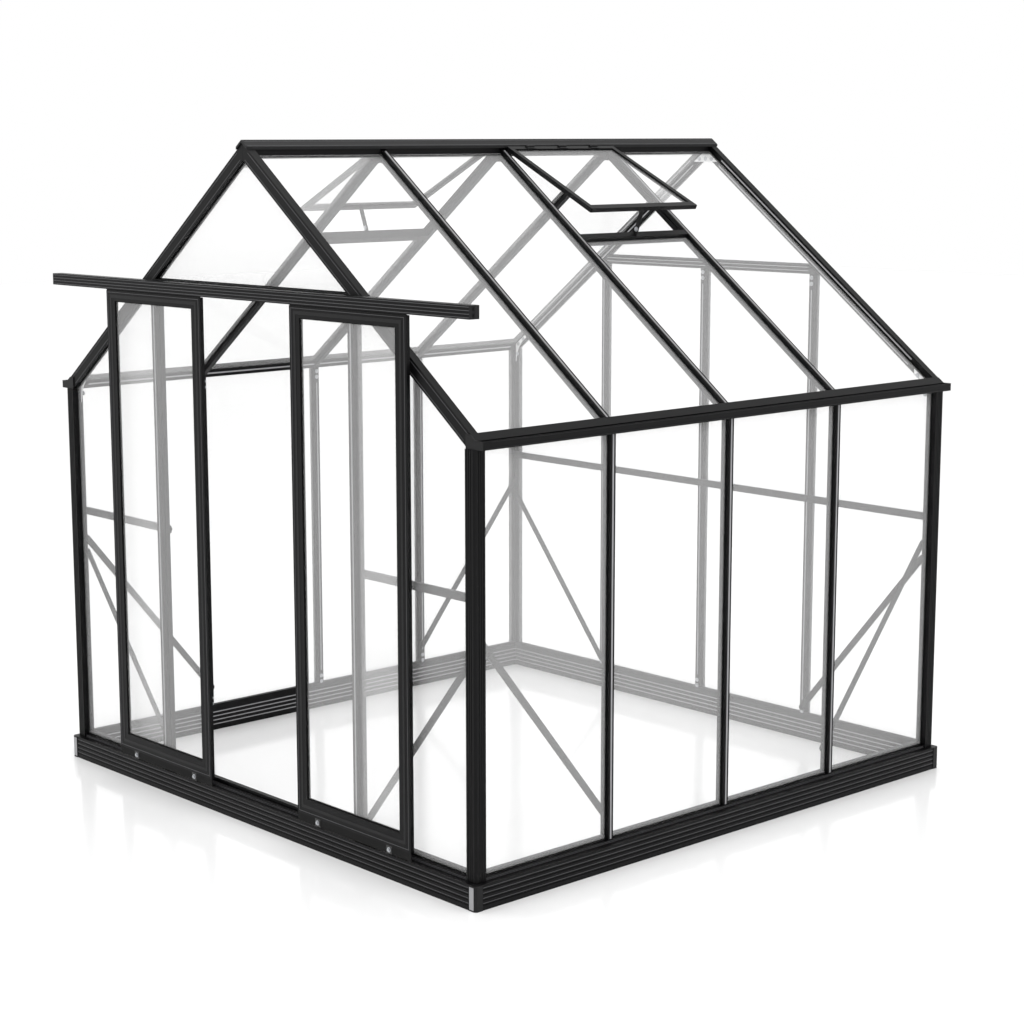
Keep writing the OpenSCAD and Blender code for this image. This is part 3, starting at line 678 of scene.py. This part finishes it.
def railScrews(c):
    low, high = box("mid_rails")
    y, z = high.y - c["thickness"], (low.z + high.z) / 2
    ends = [((high.x - c["edge"], y, z), (0, -1, 0)), ((barLine, y, z), (0, -1, 0))]
    addScrews("railScrews", fourWays(ends) + [((0, y, z), (0, -1, 0))], "house", "trim")


def plateScrews(c):
    low, high = box("eave_gussets")
    y = high.y - c["thickness"]
    gusset = [((high.x - edge, y, roofZ(high.x - edge, c["under"])), (0, -1, 0)) for edge in c["gussetIn"]]
    gusset.append(((high.x - c["postIn"], y, low.z + c["postUp"]), (0, -1, 0)))
    low, high = box("apex_plates")
    y = high.y - c["thickness"]
    apex = [((c["apexOut"], y, roofZ(c["apexOut"], c["under"])), (0, -1, 0))]
    foot = [((0, s * y, low.z + c["apexUp"]), (0, -s, 0)) for s in (1, -1)]
    addScrews("plateScrews", fourWays(gusset + apex) + foot, "house")


# two screws through each end cap of the door track
trackScrew = {"edge": 0.012}


def trackScrews(c):
    low, high = box("track_ends")
    y = (low.y + high.y) / 2
    heights = (low.z + c["edge"], high.z - c["edge"])
    seats = [((s * high.x, y, z), (s, 0, 0)) for s in (1, -1) for z in heights]
    addScrews("trackEndScrews", seats, "house", "trim")


# bright nuts in pairs on the inner faces of the upright bars, at their heads and feet
barNut = {"first": 0.018, "next": 0.026}


def barNuts(c):
    def heights(low, high):
        return [z for away in (c["first"], c["first"] + c["next"]) for z in (low.z + away, high.z - away)]

    low, high = box("right_wall_bars")
    side = [((s * low.x, y, z), (-s, 0, 0)) for s in (1, -1) for y in barRow for z in heights(low, high)]
    low, high = box("rear_gable_bars")
    rear = [((x, low.y, z), (0, -1, 0)) for x in barRow for z in heights(low, high)]
    addScrews("barNuts", side + rear, "house")


# a screw on each side of a vent stay, share of the way up from its foot
stayScrew = {"thickness": 0.005, "share": 0.2}


def stayScrews(c):
    low, high = box("vent_stays")
    points = [v.co for v in nodes["vent_stays"].data.vertices if v.co.x > 0]
    middle = (low.z + high.z) / 2
    ends = [[p for p in points if p.z < middle], [p for p in points if p.z > middle]]
    foot, head = [Vector((min(p.x for p in end) + max(p.x for p in end), 0,
                          min(p.z for p in end) + max(p.z for p in end))) / 2 for end in ends]
    place = foot.lerp(head, c["share"])
    seats = [((s * place.x, s * high.y, place.z), (0, s, 0)) for s in (1, -1)]
    seats += [((s * place.x, s * (high.y - c["thickness"]), place.z), (0, -s, 0)) for s in (1, -1)]
    addScrews("stayScrews", seats, "house")


# a screw through the face of each bottom guide of a door, half a guide in from its edge
guideScrew = {"half": 0.015}


def guideScrews(side, c):
    low, high = box(side + "_door_runners")
    y = box(side + "_door_stiles")[0].y
    z = (low.z + box(side + "_door_rails")[0].z) / 2
    seats = [((x, y, z), (0, -1, 0)) for x in (low.x + c["half"], high.x - c["half"])]
    addScrews(side + "GuideScrews", seats, side + "_door")


braceScrews(braceScrew)
railScrews(railScrew)
plateScrews(plateScrew)
barNuts(barNut)
stayScrews(stayScrew)
trackScrews(trackScrew)
for side in ("left", "right"):
    guideScrews(side, guideScrew)
print("screws driven")

# door leaves: raised lines that follow the mitred frame; the thin outer line is grey as a painted highlight
# share: how far in from the leaf's edge towards the pane
leafLine = {"grip": 0.0075, "rise": 0.0009,
            "Outer": {"share": 0.16, "width": 0.0022, "coat": "rib"},
            "Band": {"share": 0.42, "width": 0.012, "coat": "trim"}}


def leafLines(side, c):
    low, high = box(side + "_door_stiles")
    paneLow, paneHigh = box(side + "_door_glass")
    inLow = Vector((paneLow.x + c["grip"], 0, paneLow.z + c["grip"]))
    inHigh = Vector((paneHigh.x - c["grip"], 0, paneHigh.z - c["grip"]))
    for name in ("Outer", "Band"):
        line = c[name]
        a, b = low.lerp(inLow, line["share"]), high.lerp(inHigh, line["share"])
        front = addRing((a.x, a.z), (b.x, b.z), low.y, line["width"], c["rise"])
        made = [front, addCopy(front, Matrix.Translation((0, low.y + high.y, 0)) @ mirrorY)]
        finishPiece(side + "Leaf" + name + "Lines", made, line["coat"], side + "_door")


# brush seals: a skirt under the bottom rail and a strip over the top rail, short of the frame
leafBrush = {"thickness": 0.003, "back": 0.0015, "skirtGap": 0.005, "topGap": 0.001, "lap": 0.001,
             "rounding": 0.0006}


def leafBrushes(side, c):
    low, high = box(side + "_door_stiles")
    plinthTop = box("plinth_rails")[1].z
    trackFoot = box("door_track")[0].z
    front = low.y + c["back"]
    back = front + c["thickness"]
    skirt = addStrip((low.x, front, plinthTop + c["skirtGap"]), (high.x, back, low.z + c["lap"]),
                     c["rounding"])
    top = addStrip((low.x, front, high.z - c["lap"]), (high.x, back, trackFoot - c["topGap"]),
                   c["rounding"])
    finishPiece(side + "LeafBrushes", [skirt, top], "rubber", side + "_door")


for side in ("left", "right"):
    leafLines(side, leafLine)
    leafBrushes(side, leafBrush)
print("door lines and brushes laid")


# roof vents: three hinges along the top rail
ventForm = {"knuckle": 0.0045, "knuckleLength": 0.045, "knuckleSides": 20, "lift": 0.6,
            "leafWidth": 0.016, "leafThick": 0.0015, "leafSunk": 0.0003, "rounding": 0.0006,
            "spread": (-0.6, 0, 0.6), "leaning": 0.1}


# where the right-hand vent's top edge lies: X down the vent, Z off it; then its half width and depth
def ventPlace(c):
    panes = nodes["vent_glass"].data.polygons
    face = max((f for f in panes if f.normal.x > c["leaning"] and f.normal.z > leaning),
               key=lambda f: f.area)
    down = Vector((face.normal.z, 0, -face.normal.x)).normalized()
    up = Vector((face.normal.x, 0, face.normal.z)).normalized()
    points = [v.co for v in nodes["vent_side_rails"].data.vertices if v.co.x > 0]
    start, floor = min(p.dot(down) for p in points), min(p.dot(up) for p in points)
    thick = max(p.dot(up) for p in points) - floor
    near, far = min(p.y for p in points), max(p.y for p in points)
    origin = down * start + up * floor + Vector((0, (near + far) / 2, 0))
    turn = Matrix((down, (0, 1, 0), up)).transposed().to_4x4()
    return Matrix.Translation(origin) @ turn, (far - near) / 2, thick


def ventHinges(c):
    place, half, thick = ventPlace(c)
    bpy.ops.object.select_all(action="DESELECT")
    middle = (c["knuckle"], 0, thick + c["knuckle"] * c["lift"])
    bpy.ops.mesh.primitive_cylinder_add(vertices=c["knuckleSides"], radius=c["knuckle"],
                                        depth=c["knuckleLength"], rotation=(math.pi / 2, 0, 0),
                                        location=middle)
    barrel = bpy.context.active_object
    bpy.ops.object.transform_apply(location=True, rotation=True, scale=True)
    addModifier(barrel, "BEVEL", width=c["rounding"], segments=2, limit_method="ANGLE")
    leaf = addStrip((c["knuckle"], -c["knuckleLength"] / 2, thick - c["leafSunk"]),
                    (c["knuckle"] + c["leafWidth"], c["knuckleLength"] / 2, thick + c["leafThick"]),
                    c["rounding"])
    selectOnly([barrel, leaf])
    bpy.ops.object.join()
    hinge = bpy.context.active_object
    steps = [place @ Matrix.Translation((0, share * half, 0)) for share in c["spread"]]
    turned = Matrix.Rotation(math.pi, 4, "Z")
    finishPiece("ventHinges", addCopies(hinge, steps + [turned @ s for s in steps]), "trim", "house")


ventHinges(ventForm)
print("vent hinges fitted")


# floor and studio light
studioFloor = {"size": 60, "colour": "#ffffff", "rough": 0.12}
studioSky = {"colour": "#ffffff", "strength": 1.0}
studioLights = {"keyLight": {"place": (8, -3, 5), "aim": (0, 0, 1.2), "size": 4.0, "power": 260},
                "fillLight": {"place": (-6, -6, 5), "aim": (0, 0, 1.2), "size": 4.0, "power": 90},
                "topLight": {"place": (0, 0, 9), "aim": (0, 0, 0), "size": 8.0, "power": 160}}


# a pale floor with a faint gloss
def addFloor(c):
    bpy.ops.object.select_all(action="DESELECT")
    bpy.ops.mesh.primitive_plane_add(size=c["size"], location=(0, 0, 0))
    floor = bpy.context.active_object
    floor.name = "studioFloor"
    mat, tree = newMaterial("paleFloor")
    shader = addNode(tree, "ShaderNodeBsdfPrincipled",
                     {"Base Color": hexColour(c["colour"]), "Roughness": c["rough"]})
    addNode(tree, "ShaderNodeOutputMaterial", None, {"Surface": shader.outputs["BSDF"]})
    floor.data.materials.append(mat)


def addLight(name, c):
    data = bpy.data.lights.new(name, "AREA")
    data.shape, data.size, data.energy = "SQUARE", c["size"], c["power"]
    lamp = bpy.data.objects.new(name, data)
    bpy.context.scene.collection.objects.link(lamp)
    lamp.location = c["place"]
    lamp.rotation_mode = "QUATERNION"
    lamp.rotation_quaternion = (Vector(c["aim"]) - Vector(c["place"])).to_track_quat("-Z", "Y")


def addSky(c):
    world = bpy.data.worlds.new("studioSky")
    bpy.context.scene.world = world
    world.use_nodes = True
    world.node_tree.nodes["Background"].inputs["Color"].default_value = hexColour(c["colour"])
    world.node_tree.nodes["Background"].inputs["Strength"].default_value = c["strength"]


addFloor(studioFloor)
addSky(studioSky)
for name, settings in studioLights.items():
    addLight(name, settings)
bpy.context.scene.view_settings.view_transform = "Standard"
print("studio lit")
